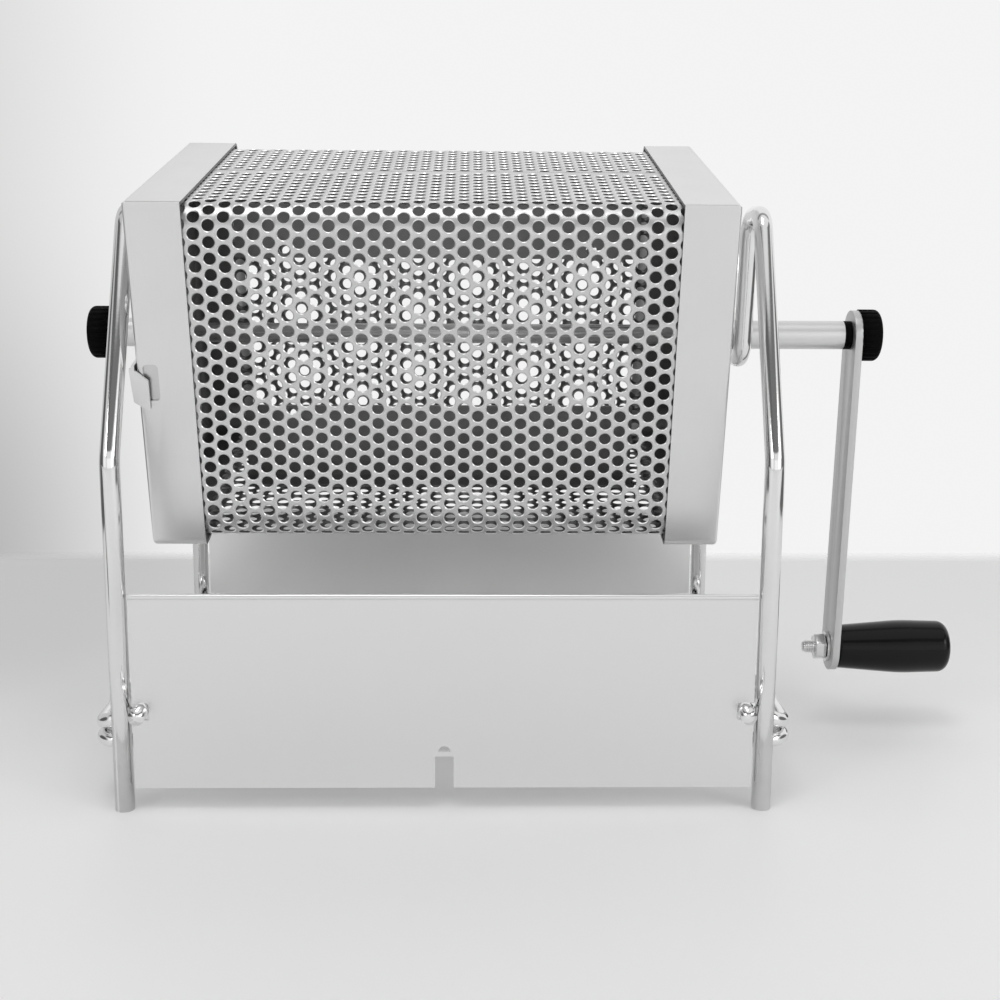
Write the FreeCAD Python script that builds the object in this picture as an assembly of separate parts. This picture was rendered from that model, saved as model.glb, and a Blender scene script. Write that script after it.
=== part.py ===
"""Stovetop coffee bean roaster: a square perforated drum in a wire stand, turned by a side crank.

X runs along the axle towards the crank, Y runs from the front to the rear, Z is up from the table.
Pieces are modelled about the middle of the stand and moved along X as they are written.
"""
import FreeCAD, Part
import math
import os

V = FreeCAD.Vector
ALONG_X = V(1, 0, 0)

# Clearances
seat_gap = 0.1
running_gap = 0.05
body_gap = 0.3

# Axle and its place
axle_height = 119.2
axle_d = 5.5
sleeve_d = 8.0

# Drum
drum_length = 150.0
drum_side = 91.5
drum_tilt = 12.4
drum_shift = -2.5
cap_wall = 0.8
cap_flange = 14.0
cap_bend = 3.2
cap_slit = 0.4
sheet_thick = 0.8
sheet_corner = 8.0
hole_d = 3.0
hole_pitch = 4.0
column_pitch = 3.66
hole_rim = 0.5
mesh_overlap = 3.0
seam_gap = 0.3
seam_from_middle = 3.0

# Stirring vanes
vane_length = 112.0
vane_thick = 0.8
vane_inner = 21.5
vane_foot = 8.0
vane_hole_d = 3.0
vane_hole_x = 42.5
vane_hole_edge = 2.5

# Hatch in the left end and its swinging cover
hatch_rear = 28.0
hatch_front = 30.0
hatch_top = 15.0
hatch_bottom = 38.0
hatch_corner = 4.0
cover_thick = 0.8
cover_back = 5.0
cover_lap = 5.0
cover_corner = 3.0
lug_width = 11.0
lug_top = 24.0
pivot_y = 35.0
pivot_z = 18.0
rivet_d = 3.0
rivet_head_d = 5.5
rivet_head = 0.7
latch_high = 9.6
latch_top = 5.0
latch_reach = 5.4
latch_edge = 1.5
latch_corner = 1.2
tab_lap = 2.9
tab_flare = 0.7
tab_drop = 4.0
tab_taper = 1.3

# Collars, nuts and knobs on the axle
collar_d = 14.0
collar_length = 2.2
grub_d = 1.6
grub_length = 3.2
axle_nut_across = 9.0
axle_nut_high = 3.5
knob_d = 14.6
knob_length = 5.8
knob_edge = 1.6
knob_bore_depth = 4.2
knob_left_out = 100.2
knob_flutes = 24
flute_d = 1.0

# Crank
arm_inner_x = 114.7
arm_thick = 2.0
arm_width = 14.0
arm_length = 94.5
arm_tilt = 4.3
spacer_length = 2.0
grip_length = 33.5
grip_root_d = 12.8
grip_full_d = 16.0
grip_full_at = 19.0
grip_end_d = 15.2
grip_end_round = 3.0
bolt_d = 4.0
bolt_head_d = 7.0
bolt_head = 3.0
bolt_sink = 4.0
bolt_tail = 7.8
nut_across = 7.0
nut_high = 3.2
washer_d = 9.0
washer_thick = 0.8

# Wire stand
rod_d = 5.0
frame_spread = 165.4
leg_reach = 55.7
shoulder_z = 91.5
shoulder_bend = 10.0
loop_top_z = 154.7
loop_y = 20.0
loop_half = 8.0
loop_bend = 7.0

# Side rails
rail_d = 4.0
rail_upper_z = 21.2
rail_lower_z = 17.0
rail_gap = 2.1
rail_bend = 4.5
hook_z = 26.5
hook_x_in = 5.0
hook_reach = 5.5

# Screens
screen_thick = 0.8
screen_bottom = 5.8
screen_top = 57.5
screen_hem_d = 1.6
screen_side_gap = 0.4
notch_clear = 0.3
vent_width = 4.8
vent_high = 8.5
vent_hole_d = 3.2
vent_bridge = 1.2

# Worked out from the sizes above
half_length = drum_length / 2
half_side = drum_side / 2
half_spread = frame_spread / 2
sheet_out = half_side - cap_wall - seat_gap
sheet_in = sheet_out - sheet_thick
sheet_flat = sheet_out - sheet_corner
sheet_half = half_length - cap_wall - seat_gap
arm_outer_x = arm_inner_x + arm_thick
knob_right_in = arm_outer_x + seat_gap
grip_start = arm_outer_x + body_gap
grip_end = grip_start + grip_length
stand_x = (knob_left_out - grip_end) / 2
axle_centre = V(0, 0, axle_height)


def unit(vector):
    return vector * (1.0 / vector.Length)


def rounded_path(points, radii, closed=False):
    """Straight runs through the points with a tangent arc of its own radius at each corner."""
    count = len(points)
    corners = []
    for i, point in enumerate(points):
        if radii[i] == 0 or (not closed and i in (0, count - 1)):
            corners.append((point, None, point))
            continue
        back = unit(points[i - 1] - point)
        ahead = unit(points[(i + 1) % count] - point)
        half_angle = back.getAngle(ahead) / 2
        reach = radii[i] / math.tan(half_angle)
        inward = unit(back + ahead)
        crown = point + inward * (radii[i] / math.sin(half_angle) - radii[i])
        corners.append((point + back * reach, crown, point + ahead * reach))
    edges = []
    for i, (start, crown, end) in enumerate(corners):
        if crown is not None:
            edges.append(Part.Arc(start, crown, end).toShape())
        if i < count - 1 or closed:
            following = corners[(i + 1) % count][0]
            if end.distanceToPoint(following) > 1e-6:
                edges.append(Part.LineSegment(end, following).toShape())
    return Part.Wire(edges)


def bent_wire(points, radii, diameter):
    """A round wire along a path of runs and bends."""
    path = rounded_path(points, radii)
    start = points[0]
    profile = Part.Wire([Part.makeCircle(diameter / 2, start, points[1] - start)])
    return path.makePipeShell([profile], True, False)


def rod_along_x(diameter, x_from, x_to, y=0.0, z=0.0):
    return Part.makeCylinder(diameter / 2, x_to - x_from, V(x_from, y, z), ALONG_X)


def plate_in_yz(corners, radii, x_from, x_to):
    """A plate square to X, from an outline of (y, z) corners with their own radii."""
    outline = rounded_path([V(x_from, y, z) for y, z in corners], radii, closed=True)
    return Part.Face(outline).extrude(V(x_to - x_from, 0, 0))


def square_block(half, x_from, x_to, bend):
    """A square bar along X, sharp at its top front corner and rounded at the others."""
    corners = [(-half, half), (half, half), (half, -half), (-half, -half)]
    return plate_in_yz(corners, [0, bend, bend, bend], x_from, x_to)


def hex_along_x(across, x_from, x_to):
    """A hexagon bar along X with its corners at the top and bottom."""
    radius = across / math.sqrt(3)
    corners = []
    for k in range(6):
        angle = math.radians(60 * k + 90)
        corners.append((radius * math.cos(angle), radius * math.sin(angle)))
    return plate_in_yz(corners, [0] * 6, x_from, x_to)


def mirrored_x(shape):
    return shape.mirror(V(0, 0, 0), ALONG_X)


def mirrored_y(shape):
    return shape.mirror(V(0, 0, 0), V(0, 1, 0))


def with_drum(shape):
    """Turn a piece modelled square about the axle to the drum's rest angle, and lift it there."""
    turned = shape.copy()
    turned.rotate(V(0, 0, 0), ALONG_X, drum_tilt)
    turned.translate(axle_centre + V(drum_shift, 0, 0))
    return turned


def on_axle(shape):
    lifted = shape.copy()
    lifted.translate(axle_centre)
    return lifted


def with_crank(shape):
    """Hang a piece modelled at the end of the arm from the axle, at the crank's rest angle."""
    hung = shape.copy()
    hung.rotate(V(0, 0, 0), ALONG_X, arm_tilt)
    hung.translate(axle_centre)
    return hung


def sheet_panel(v_from, v_to, shifted=1):
    """One flat of the drum's sheet, on the top side; every second column of holes is shifted half a pitch."""
    reach = half_length - cap_flange + mesh_overlap
    margin = hole_d / 2 + hole_rim
    columns = int(reach / column_pitch)
    rows = int(sheet_flat / hole_pitch) + 1
    corners = [V(-sheet_half, v_from, sheet_in), V(sheet_half, v_from, sheet_in),
               V(sheet_half, v_to, sheet_in), V(-sheet_half, v_to, sheet_in)]
    wires = [rounded_path(corners, [0] * 4, closed=True)]
    for i in range(-columns, columns + 1):
        shift = hole_pitch / 2 if i % 2 == shifted else 0.0
        for j in range(-rows, rows + 1):
            v = j * hole_pitch + shift
            if v_from + margin <= v <= v_to - margin:
                wires.append(Part.Wire([Part.makeCircle(hole_d / 2, V(i * column_pitch, v, sheet_in))]))
    face = Part.makeFace(wires, "Part::FaceMakerBullseye")
    return face.extrude(V(0, 0, sheet_thick))


def quarter_turn(shape, turns):
    turned = shape.copy()
    turned.rotate(V(0, 0, 0), ALONG_X, 90 * turns)
    return turned


def drum_sheet():
    """The four flats and four bends of the wrapped sheet; the seam crosses the top flat."""
    front_half = sheet_panel(-sheet_flat, seam_from_middle - seam_gap / 2)
    rear_half = sheet_panel(seam_from_middle + seam_gap / 2, sheet_flat)
    flat = sheet_panel(-sheet_flat, sheet_flat)
    staggered_flat = sheet_panel(-sheet_flat, sheet_flat, shifted=0)
    bend_centre = V(0, sheet_flat, sheet_flat)
    ring = Part.makeCylinder(sheet_corner, 2 * sheet_half, V(-sheet_half, 0, 0), ALONG_X)
    ring = ring.cut(Part.makeCylinder(sheet_corner - sheet_thick, 2 * sheet_half, V(-sheet_half, 0, 0), ALONG_X))
    quadrant = Part.makeBox(2 * sheet_half, sheet_corner, sheet_corner, V(-sheet_half, 0, 0))
    bend = ring.common(quadrant)
    bend.translate(bend_centre)
    bends = [quarter_turn(bend, k) for k in range(4)]
    return {
        "sheet_top": Part.makeCompound([front_half, rear_half]),
        "sheet_front": quarter_turn(staggered_flat, 1),
        "sheet_bottom": quarter_turn(flat, 2),
        "sheet_rear": quarter_turn(staggered_flat, 3),
        "sheet_bends": Part.makeCompound(bends),
    }


def end_cap():
    """The right-hand folded cap: an end wall with four flanges, slit where the fold closes."""
    outer = square_block(half_side, half_length - cap_flange, half_length, cap_bend)
    inner = square_block(half_side - cap_wall, half_length - cap_flange - 1, half_length - cap_wall,
                         cap_bend - cap_wall)
    cap = outer.cut(inner)
    slit = Part.makeBox(cap_flange, cap_slit, cap_wall + 1,
                        V(half_length - cap_flange - cap_wall, -half_side + cap_wall, half_side - cap_wall))
    bore = rod_along_x(axle_d + 2 * seat_gap, half_length - cap_flange, half_length + 1)
    return cap.cut(slit).cut(bore)


def left_cap():
    """The left cap has the hatch in its wall, the latch slot in its front flange and a rivet hole."""
    cap = mirrored_x(end_cap())
    hatch_corners = [(-hatch_front, -hatch_top), (hatch_rear, -hatch_top),
                     (hatch_rear, -hatch_bottom), (-hatch_front, -hatch_bottom)]
    hatch = plate_in_yz(hatch_corners, [hatch_corner] * 4, -half_length - 1, -half_length + cap_wall + 1)
    low_z = latch_top - latch_high
    slot_points = [V(-half_length + latch_edge, -half_side - 1, low_z),
                   V(-half_length + latch_reach, -half_side - 1, low_z),
                   V(-half_length + latch_reach, -half_side - 1, latch_top),
                   V(-half_length + latch_edge, -half_side - 1, latch_top)]
    slot_outline = rounded_path(slot_points, [latch_corner] * 4, closed=True)
    slot = Part.Face(slot_outline).extrude(V(0, cap_wall + 2, 0))
    rivet_hole = rod_along_x(rivet_d + 2 * running_gap, -half_length - 1, -half_length + cap_wall + 1,
                             -pivot_y, pivot_z)
    return cap.cut(hatch).cut(slot).cut(rivet_hole)


def end_cover():
    """The plate that closes the hatch, hung from its rivet, with its tab over the latch slot."""
    x_in = -half_length - body_gap
    x_out = x_in - cover_thick
    front = -half_side + cover_back
    low = -hatch_bottom - cover_lap
    high = -hatch_top + cover_lap
    lug_back = front + lug_width
    corners = [(front, lug_top), (lug_back, lug_top), (lug_back, high + cover_lap),
               (lug_back + cover_lap, high), (hatch_rear + cover_lap, high),
               (hatch_rear + cover_lap, low), (front, low)]
    radii = [cover_corner, cover_corner, 0, 0, cover_corner, cover_corner, cover_corner]
    plate = plate_in_yz(corners, radii, x_out, x_in)
    tab_front = -half_side - body_gap - cover_thick
    tab_low = latch_top - latch_high
    tab_tip = -half_length + tab_lap
    bridge = Part.makeBox(cover_thick, front - tab_front + 1, latch_high, V(x_out, tab_front, tab_low))
    tab_points = [V(x_out - tab_flare, tab_front, latch_top), V(tab_tip, tab_front, latch_top - tab_drop),
                  V(tab_tip, tab_front, tab_low - tab_drop + tab_taper), V(x_out, tab_front, tab_low)]
    tab = Part.Face(rounded_path(tab_points, [0.5] * 4, closed=True)).extrude(V(0, cover_thick, 0))
    bore = rod_along_x(rivet_d + 2 * running_gap, x_out - 1, x_in + 1, -pivot_y, pivot_z)
    return plate.fuse([bridge, tab]).removeSplitter().cut(bore)


def cover_rivet():
    """The rivet through the cap's wall, with a head on each side."""
    inner_x = -half_length + cap_wall + seat_gap
    outer_x = -half_length - body_gap - cover_thick - running_gap
    shank = rod_along_x(rivet_d, outer_x - rivet_head / 2, inner_x + rivet_head / 2, -pivot_y, pivot_z)
    outer_head = rod_along_x(rivet_head_d, outer_x - rivet_head, outer_x, -pivot_y, pivot_z)
    inner_head = rod_along_x(rivet_head_d, inner_x, inner_x + rivet_head, -pivot_y, pivot_z)
    return shank.fuse([outer_head, inner_head]).removeSplitter()


def vane():
    """The upper stirring vane: a blade towards the axle on a foot against the sheet."""
    top = sheet_in - seat_gap
    blade = Part.makeBox(vane_length, vane_thick, top - vane_inner, V(-vane_length / 2, 0, vane_inner))
    foot = Part.makeBox(vane_length, vane_foot, vane_thick, V(-vane_length / 2, 0, top - vane_thick))
    piece = blade.fuse(foot).removeSplitter()
    for side in (-1, 1):
        centre = V(side * vane_hole_x, -1, vane_inner + vane_hole_edge)
        piece = piece.cut(Part.makeCylinder(vane_hole_d / 2, vane_thick + 2, centre, V(0, 1, 0)))
    return piece


def axle():
    left_end = -knob_left_out + knob_length - knob_bore_depth + seat_gap
    right_end = knob_right_in + knob_bore_depth - seat_gap
    return rod_along_x(axle_d, left_end, right_end)


def ring_along_x(outer, x_from, x_to, bore_gap):
    """A ring or sleeve over the axle."""
    bore = rod_along_x(axle_d + 2 * bore_gap, x_from - 1, x_to + 1)
    return rod_along_x(outer, x_from, x_to).cut(bore)


def collar():
    """The right-hand collar, drilled from above for its grub screw."""
    start = half_length + seat_gap
    body = ring_along_x(collar_d, start, start + collar_length, running_gap)
    tapped = Part.makeCylinder(grub_d / 2 + running_gap, collar_d, V(start + collar_length / 2, 0, axle_d / 2))
    return body.cut(tapped)


def grub_screw():
    centre_x = half_length + seat_gap + collar_length / 2
    screw = Part.makeCylinder(grub_d / 2, grub_length, V(centre_x, 0, axle_d / 2 + running_gap))
    socket_depth = grub_length / 2
    socket = Part.makeCylinder(grub_d / 4, socket_depth,
                               V(centre_x, 0, axle_d / 2 + running_gap + grub_length - socket_depth))
    return screw.cut(socket)


def axle_nut():
    start = half_length - cap_wall - seat_gap - axle_nut_high
    nut = hex_along_x(axle_nut_across, start, start + axle_nut_high)
    return nut.cut(rod_along_x(axle_d + 2 * running_gap, start - 1, start + axle_nut_high + 1))


def knob(x_in):
    """A fluted knob whose blind bore opens at x_in and which reaches away along X."""
    body = rod_along_x(knob_d, x_in, x_in + knob_length)
    rims = [edge for edge in body.Edges if edge.Curve.TypeId == "Part::GeomCircle"]
    far_rim = max(rims, key=lambda edge: edge.CenterOfMass.x)
    body = body.makeFillet(knob_edge, [far_rim])
    flutes = []
    for k in range(knob_flutes):
        angle = 2 * math.pi * k / knob_flutes
        y = (knob_d / 2 + flute_d / 4) * math.cos(angle)
        z = (knob_d / 2 + flute_d / 4) * math.sin(angle)
        flutes.append(rod_along_x(flute_d, x_in - 1, x_in + knob_length + 1, y, z))
    bore = rod_along_x(axle_d + 2 * running_gap, x_in - 1, x_in + knob_bore_depth)
    return body.cut(flutes + [bore])


def crank_arm():
    """The flat arm with round ends, hanging straight down from the axle."""
    half = arm_width / 2
    corners = [(-half, half), (half, half), (half, -arm_length - half), (-half, -arm_length - half)]
    nearly_half = half * 0.999
    bar = plate_in_yz(corners, [nearly_half] * 4, arm_inner_x, arm_outer_x)
    axle_bore = rod_along_x(axle_d + 2 * running_gap, arm_inner_x - 1, arm_outer_x + 1)
    bolt_bore = rod_along_x(bolt_d + 2 * running_gap, arm_inner_x - 1, arm_outer_x + 1, 0, -arm_length)
    return bar.cut([axle_bore, bolt_bore])


def crank_grip():
    """The tapered grip, turned about its bolt, with a deep bore for the bolt head."""
    root = grip_root_d / 2
    full = grip_full_d / 2
    end = grip_end_d / 2
    full_x = grip_start + grip_full_at
    outline = [V(grip_start, 0, 0), V(grip_start, root, 0), V(full_x, full, 0), V(grip_end, end, 0),
               V(grip_end, 0, 0)]
    profile = rounded_path(outline, [0, 1.0, 60.0, grip_end_round, 0], closed=True)
    body = Part.Face(profile).revolve(V(0, 0, 0), ALONG_X, 360)
    bore = rod_along_x(bolt_d + 2 * running_gap, grip_start - 1, grip_end)
    sink = rod_along_x(bolt_head_d + 2 * body_gap, grip_end - bolt_sink, grip_end + 1)
    body = body.cut([bore, sink])
    body.translate(V(0, 0, -arm_length))
    return body


def grip_bolt():
    head_x = grip_end - bolt_sink + running_gap
    shank = rod_along_x(bolt_d, arm_inner_x - bolt_tail, head_x + bolt_head / 2, 0, -arm_length)
    head = rod_along_x(bolt_head_d, head_x, head_x + bolt_head, 0, -arm_length)
    bar = Part.makeBox(bolt_head / 2, bolt_head_d, 1.0, V(head_x + bolt_head / 2, -bolt_head_d / 2, -arm_length - 0.5))
    return shank.fuse(head).removeSplitter().cut(bar)


def grip_nut():
    end_x = arm_inner_x - 2 * seat_gap - washer_thick
    nut = hex_along_x(nut_across, end_x - nut_high, end_x)
    nut = nut.cut(rod_along_x(bolt_d + 2 * running_gap, end_x - nut_high - 1, end_x + 1))
    nut.translate(V(0, 0, -arm_length))
    return nut


def grip_washer():
    end_x = arm_inner_x - seat_gap
    disc = rod_along_x(washer_d, end_x - washer_thick, end_x, 0, -arm_length)
    return disc.cut(rod_along_x(bolt_d + 2 * running_gap, end_x - washer_thick - 1, end_x + 1, 0, -arm_length))


def side_frame():
    """The right-hand frame: one wire from the front foot over the cradle to the rear foot."""
    loop_z = loop_top_z - rod_d / 2
    cradle_half = sleeve_d / 2 + rod_d / 2 + running_gap
    cradle_z = axle_height - cradle_half
    front = [(-leg_reach, 0.0, 0.0), (-leg_reach, shoulder_z, shoulder_bend),
             (-loop_y - loop_half, loop_z, loop_bend), (-loop_y + loop_half, loop_z, loop_bend),
             (-cradle_half, cradle_z, cradle_half)]
    rear = [(-y, z, bend) for y, z, bend in reversed(front)]
    route = front + rear
    points = [V(half_spread, y, z) for y, z, bend in route]
    return bent_wire(points, [bend for y, z, bend in route], rod_d)


def upper_rail():
    """The right-hand upper rail: it passes behind each leg and hooks through both screens."""
    outside = half_spread + rod_d / 2 + rail_gap + rail_d / 2
    behind = leg_reach - rod_d / 2 - rail_d / 2 - body_gap
    hook_x = half_spread - hook_x_in
    tip = leg_reach + hook_reach
    front = [V(hook_x, -tip, hook_z), V(hook_x, -behind, hook_z), V(outside, -behind, rail_upper_z)]
    points = front + [V(point.x, -point.y, point.z) for point in reversed(front)]
    return bent_wire(points, [0, rail_bend, rail_bend, rail_bend, rail_bend, 0], rail_d)


def lower_rail():
    """The right-hand lower rail: it turns in behind each leg and ends there."""
    outside = half_spread + rod_d / 2 + rail_gap + rail_d / 2
    behind = leg_reach - rod_d / 2 - rail_d / 2 - body_gap
    inner_x = half_spread - rod_d / 2
    front = [(inner_x, -behind), (outside, -behind)]
    rear = [(x, -y) for x, y in reversed(front)]
    points = [V(x, y, rail_lower_z) for x, y in front + rear]
    return bent_wire(points, [0, rail_bend, rail_bend, 0], rail_d)


def screen():
    """The front screen: a plate between the legs with a rolled top, hook notches and a vent slot."""
    half_width = half_spread - rod_d / 2 - screen_side_gap
    face_y = -leg_reach - screen_thick / 2
    plate = Part.makeBox(2 * half_width, screen_thick, screen_top - screen_hem_d / 2 - screen_bottom,
                         V(-half_width, face_y, screen_bottom))
    hem = rod_along_x(screen_hem_d, -half_width, half_width, -leg_reach, screen_top - screen_hem_d / 2)
    body = plate.fuse(hem).removeSplitter()
    notch_high = rail_d + 2 * notch_clear
    hook_edge = half_spread - hook_x_in - rail_d / 2 - notch_clear
    cuts = []
    for side in (-1, 1):
        start = hook_edge if side > 0 else -half_width - 1
        cuts.append(Part.makeBox(half_width - hook_edge + 1, screen_thick + 2, notch_high,
                                 V(start, face_y - 1, hook_z - notch_high / 2)))
    cuts.append(Part.makeBox(vent_width, screen_thick + 2, vent_high + 1,
                             V(-vent_width / 2, face_y - 1, screen_bottom - 1)))
    hole_z = screen_bottom + vent_high + vent_bridge
    arch = Part.makeCylinder(vent_hole_d / 2, screen_thick + 2, V(0, face_y - 1, hole_z), V(0, 1, 0))
    upper_half = Part.makeBox(vent_hole_d, screen_thick + 4, vent_hole_d, V(-vent_hole_d / 2, face_y - 2, hole_z))
    cuts.append(arch.common(upper_half))
    return body.cut(cuts)


def build():
    """Every node by name, about the middle of the stand."""
    nodes = {name: with_drum(shape) for name, shape in drum_sheet().items()}
    upper_vane = vane()
    lower_vane = quarter_turn(upper_vane, 2)
    nodes["end_cap_left"] = with_drum(left_cap())
    nodes["end_cap_right"] = with_drum(end_cap())
    nodes["vane_upper"] = with_drum(upper_vane)
    nodes["vane_lower"] = with_drum(lower_vane)
    nodes["end_cover"] = with_drum(end_cover())
    nodes["cover_rivet"] = with_drum(cover_rivet())
    nodes["axle"] = on_axle(axle())
    nodes["axle_nuts"] = with_drum(Part.makeCompound([axle_nut(), mirrored_x(axle_nut())]))
    nodes["collar_left"] = with_drum(mirrored_x(collar()))
    nodes["collar_right"] = with_drum(collar())
    nodes["grub_screws"] = with_drum(Part.makeCompound([grub_screw(), mirrored_x(grub_screw())]))
    sleeve_start = half_length + 2 * seat_gap + collar_length
    sleeve_start_left = sleeve_start - drum_shift
    sleeve_start_right = sleeve_start + drum_shift
    knob_left_in = knob_left_out - knob_length
    spacer_start = arm_inner_x - seat_gap - spacer_length
    nodes["sleeve_left"] = on_axle(mirrored_x(ring_along_x(sleeve_d, sleeve_start_left,
                                                           knob_left_in - seat_gap, running_gap)))
    nodes["sleeve_right"] = on_axle(ring_along_x(sleeve_d, sleeve_start_right, spacer_start - seat_gap,
                                                running_gap))
    nodes["spacer_ring"] = on_axle(ring_along_x(sleeve_d, spacer_start, spacer_start + spacer_length,
                                                running_gap))
    nodes["knob_left"] = on_axle(mirrored_x(knob(knob_left_in)))
    nodes["knob_right"] = on_axle(knob(knob_right_in))
    nodes["crank_arm"] = with_crank(crank_arm())
    nodes["crank_grip"] = with_crank(crank_grip())
    nodes["grip_bolt"] = with_crank(grip_bolt())
    nodes["grip_nut"] = with_crank(grip_nut())
    nodes["grip_washer"] = with_crank(grip_washer())
    nodes["frame_right"] = side_frame()
    nodes["frame_left"] = mirrored_x(side_frame())
    nodes["rail_upper_right"] = upper_rail()
    nodes["rail_upper_left"] = mirrored_x(upper_rail())
    nodes["rail_lower_right"] = lower_rail()
    nodes["rail_lower_left"] = mirrored_x(lower_rail())
    nodes["screen_front"] = screen()
    nodes["screen_rear"] = mirrored_y(screen())
    return nodes


os.makedirs("parts", exist_ok=True)
for name, shape in build().items():
    placed = shape.copy()
    placed.translate(V(stand_x, 0, 0))
    solids = placed.Solids
    print(name, len(solids), "valid" if placed.isValid() else "BROKEN", round(sum(s.Volume for s in solids), 1))
    result = solids[0] if len(solids) == 1 else Part.makeCompound(solids)
    result.exportStep("parts/" + name + ".step")
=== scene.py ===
"""Looks of a stovetop coffee bean roaster: perforated drum, wire stand, screens and a side crank.

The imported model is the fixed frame. Lengths are in metres, X along the axle, Y to the rear, Z up.
"""
import math

import bmesh
import bpy
from bpy.props import FloatProperty, FloatVectorProperty, IntProperty, PointerProperty
from mathutils import Matrix, Vector


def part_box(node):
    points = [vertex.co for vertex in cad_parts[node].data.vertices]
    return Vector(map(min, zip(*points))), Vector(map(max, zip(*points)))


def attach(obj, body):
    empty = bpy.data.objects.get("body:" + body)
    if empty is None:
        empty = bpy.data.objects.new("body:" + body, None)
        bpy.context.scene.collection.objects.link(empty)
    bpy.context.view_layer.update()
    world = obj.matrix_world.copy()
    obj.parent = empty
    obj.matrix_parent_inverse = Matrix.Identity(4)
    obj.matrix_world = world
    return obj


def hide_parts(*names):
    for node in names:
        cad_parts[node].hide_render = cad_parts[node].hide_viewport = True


bl_info = {
    "name": "Bean roaster looks",
    "version": (1, 0, 0),
    "blender": (4, 5, 0),
    "location": "3D View > Sidebar > Roaster",
    "description": "Dresses the packed bean roaster with its perforated sheet, fittings and finishes",
    "category": "Object",
}

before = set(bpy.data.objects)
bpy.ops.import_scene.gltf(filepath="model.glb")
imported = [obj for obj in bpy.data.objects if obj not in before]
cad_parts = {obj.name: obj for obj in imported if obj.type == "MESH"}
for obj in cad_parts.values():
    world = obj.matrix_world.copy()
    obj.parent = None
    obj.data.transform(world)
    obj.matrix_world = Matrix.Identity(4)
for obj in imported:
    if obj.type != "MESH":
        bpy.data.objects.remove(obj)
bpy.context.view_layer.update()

cap_left_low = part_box("end_cap_left")[0]
cap_right_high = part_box("end_cap_right")[1]
knob_low, knob_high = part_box("knob_left")
bolt_low, bolt_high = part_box("grip_bolt")
nut_low, nut_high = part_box("grip_nut")
drum_x = (cap_left_low.x + cap_right_high.x) / 2
axle_z = (knob_low.z + knob_high.z) / 2
bolt_y = (bolt_low.y + bolt_high.y) / 2
bolt_z = (bolt_low.z + bolt_high.z) / 2

SIDE_ROWS = 21  # rows of holes on a side, from the middle of one bend to the middle of the next
HOLE_CORNERS = 16  # corners of a hole, as many as the border of its cell has
SEAM_PLAIN = 0.55  # rows less than this many pitches from the seam have no holes
INNER_DEPTH = 0.6  # share of the wall's thickness below which a face is on the sheet's inside
FOLD_REACH = 0.003  # how far in from the sheet's outside a cap's outer folds may lie
RIM, SHEET_INSIDE = 1, 2  # places in the sheet's list of finishes
CAP_INSIDE = 1  # place in a cap's list of finishes

FLAT_ABOVE = 35.0  # degrees between two faces above which the shading breaks
THREAD_FLAT_ABOVE = 50.0  # the same for the bolt's thread
SHARP_ABOVE = 60.0  # degrees between two faces above which their edge is softened
SAME_FACE = 0.5  # degrees between two faces below which they are one

NEAR = 0.00002  # places this near each other are the same
WELD = 0.000002  # corners of a CAD shape this near each other are one
THREAD_WELD = 0.000005  # corners of the thread this near each other are one
CUT = 0.000001  # corners this near a cut are on it

THREAD_STEPS = 20  # corners in one turn of the thread
THREAD_CREST = (0.45, 0.55)  # where the crest starts and ends, in pitches
THREAD_DEPTH = 0.5  # from the crest down to the root, in pitches
CORE_DEPTH = 0.45  # from the crest down to the rod inside the thread, in pitches
THREAD_START = 0.0006  # from the bolt's end to the first turn
BOLT_ROUND = 0.0008  # radius at the bolt's end
SHANK_START = 0.0005  # how far inside the nut the plain shank starts
NUT_ROUND = 0.00035  # radius of the nut's edges

TABLE_HALF = 2.0  # half the table's width
TABLE_FRONT = -2.0  # its edge towards the camera
TABLE_BACK = 0.25  # its far edge
TABLE_FADE = (0.222, 0.246)  # where the table starts to fade into the wall, and where it has gone


def length(name, default, description):
    return FloatProperty(name=name, default=default, min=0.0, precision=5, description=description,
                         subtype="DISTANCE", unit="LENGTH")


def tint(name, level, description):
    return FloatVectorProperty(name=name, default=(level, level, level, 1.0), size=4, min=0.0, max=1.0,
                               subtype="COLOR", description=description)


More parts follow.
